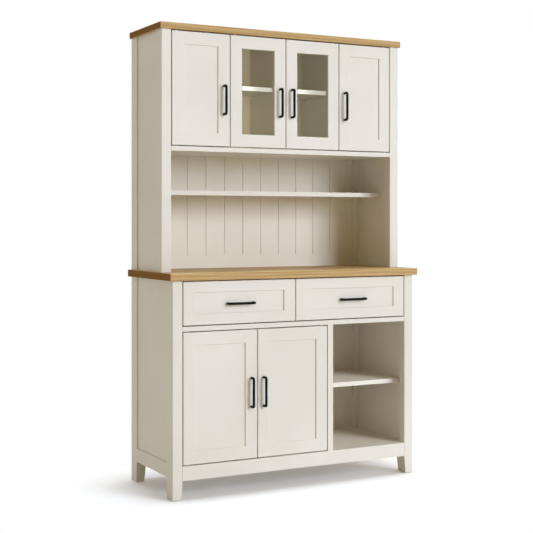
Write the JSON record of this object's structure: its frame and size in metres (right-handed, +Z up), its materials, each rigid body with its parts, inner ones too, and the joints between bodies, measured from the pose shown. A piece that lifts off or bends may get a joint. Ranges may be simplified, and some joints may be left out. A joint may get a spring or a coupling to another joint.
{
  "type": "kitchen buffet cabinet",
  "caption": "Painted kitchen buffet cabinet: a hutch with solid and glazed doors over an open shelf, on a base with an oak worktop, drawers, doors and an open bay.",
  "frame": {"origin": "on the floor, under the middle of the cabinet's box with its handles", "axes": "+X to the right of someone who faces the front, +Y to the back, +Z up"},
  "size_m": [1.11, 0.442, 1.8],
  "materials": {
    "painted_board": "sprayed satin off-white paint on board",
    "oak": "oiled light oak",
    "glass": "clear float glass",
    "black_metal": "matt black powder coat",
    "steel": "zinc plated",
    "beech": "planed beech",
    "birch": "lacquered birch ply",
    "nylon": "moulded nylon",
    "magnet_case": "moulded"
  },
  "bodies": {
    "carcass": {"hutch_top": "oak", "hutch_front_post_left": "painted_board", "hutch_front_post_right": "painted_board", "hutch_rear_posts": "painted_board", "hutch_side_panels": "painted_board", "hutch_deck": "painted_board", "hutch_dividers": "painted_board", "hutch_centre_shelves": "painted_board", "hutch_side_shelves": "painted_board", "hutch_open_shelf": "painted_board", "hutch_back": "painted_board", "worktop": "oak", "base_front_post_left": "painted_board", "base_front_post_right": "painted_board", "base_rear_posts": "painted_board", "base_side_panels": "painted_board", "base_side_rails": "painted_board", "base_bottom_rail": "painted_board", "base_mid_rail": "painted_board", "base_divider": "painted_board", "drawer_divider": "painted_board", "base_floor": "painted_board", "base_dust_panel": "painted_board", "base_back": "painted_board", "base_door_shelf": "painted_board", "base_open_shelf": "painted_board", "door_pivot_pins": "steel", "shelf_pins": "steel", "carcass_dowels": "beech", "drawer_runners": "beech", "foot_glides": "nylon", "door_catches": "magnet_case", "wall_brackets": "steel"},
    "left_hutch_door": {"hutch_door_left": "painted_board", "hutch_door_left_handle": "black_metal"},
    "left_glass_door": {"glass_door_left_frame": "painted_board", "glass_door_left_pane": "glass", "glass_door_left_beads": "painted_board", "glass_door_left_handle": "black_metal"},
    "right_glass_door": {"glass_door_right_frame": "painted_board", "glass_door_right_pane": "glass", "glass_door_right_beads": "painted_board", "glass_door_right_handle": "black_metal"},
    "right_hutch_door": {"hutch_door_right": "painted_board", "hutch_door_right_handle": "black_metal"},
    "left_base_door": {"base_door_left": "painted_board", "base_door_left_handle": "black_metal"},
    "right_base_door": {"base_door_right": "painted_board", "base_door_right_handle": "black_metal"},
    "left_drawer": {"drawer_left_front": "painted_board", "drawer_left_sides": "birch", "drawer_left_back": "birch", "drawer_left_bottom": "birch", "drawer_left_handle": "black_metal"},
    "right_drawer": {"drawer_right_front": "painted_board", "drawer_right_sides": "birch", "drawer_right_back": "birch", "drawer_right_bottom": "birch", "drawer_right_handle": "black_metal"}
  },
  "joints": [
    {"name": "left_hutch_door_swing", "type": "hinge", "parent": "carcass", "child": "left_hutch_door", "pos_m": [-0.47437, -0.079, 1.5145], "axis": [0, 0, -1], "range_deg": [0, 105]},
    {"name": "left_glass_door_swing", "type": "hinge", "parent": "carcass", "child": "left_glass_door", "pos_m": [-0.22537, -0.079, 1.5145], "axis": [0, 0, -1], "range_deg": [0, 105]},
    {"name": "right_glass_door_swing", "type": "hinge", "parent": "carcass", "child": "right_glass_door", "pos_m": [0.22537, -0.079, 1.5145], "axis": [0, 0, 1], "range_deg": [0, 105]},
    {"name": "right_hutch_door_swing", "type": "hinge", "parent": "carcass", "child": "right_hutch_door", "pos_m": [0.47437, -0.079, 1.5145], "axis": [0, 0, 1], "range_deg": [0, 105]},
    {"name": "left_base_door_swing", "type": "hinge", "parent": "carcass", "child": "left_base_door", "pos_m": [-0.47437, -0.185, 0.3845], "axis": [0, 0, -1], "range_deg": [0, 105]},
    {"name": "right_base_door_swing", "type": "hinge", "parent": "carcass", "child": "right_base_door", "pos_m": [0.10637, -0.185, 0.3845], "axis": [0, 0, 1], "range_deg": [0, 105]},
    {"name": "left_drawer_slide", "type": "slide", "parent": "carcass", "child": "left_drawer", "axis": [0, -1, 0], "range_m": [0, 0.25]},
    {"name": "right_drawer_slide", "type": "slide", "parent": "carcass", "child": "right_drawer", "axis": [0, -1, 0], "range_m": [0, 0.25]}
  ]
}
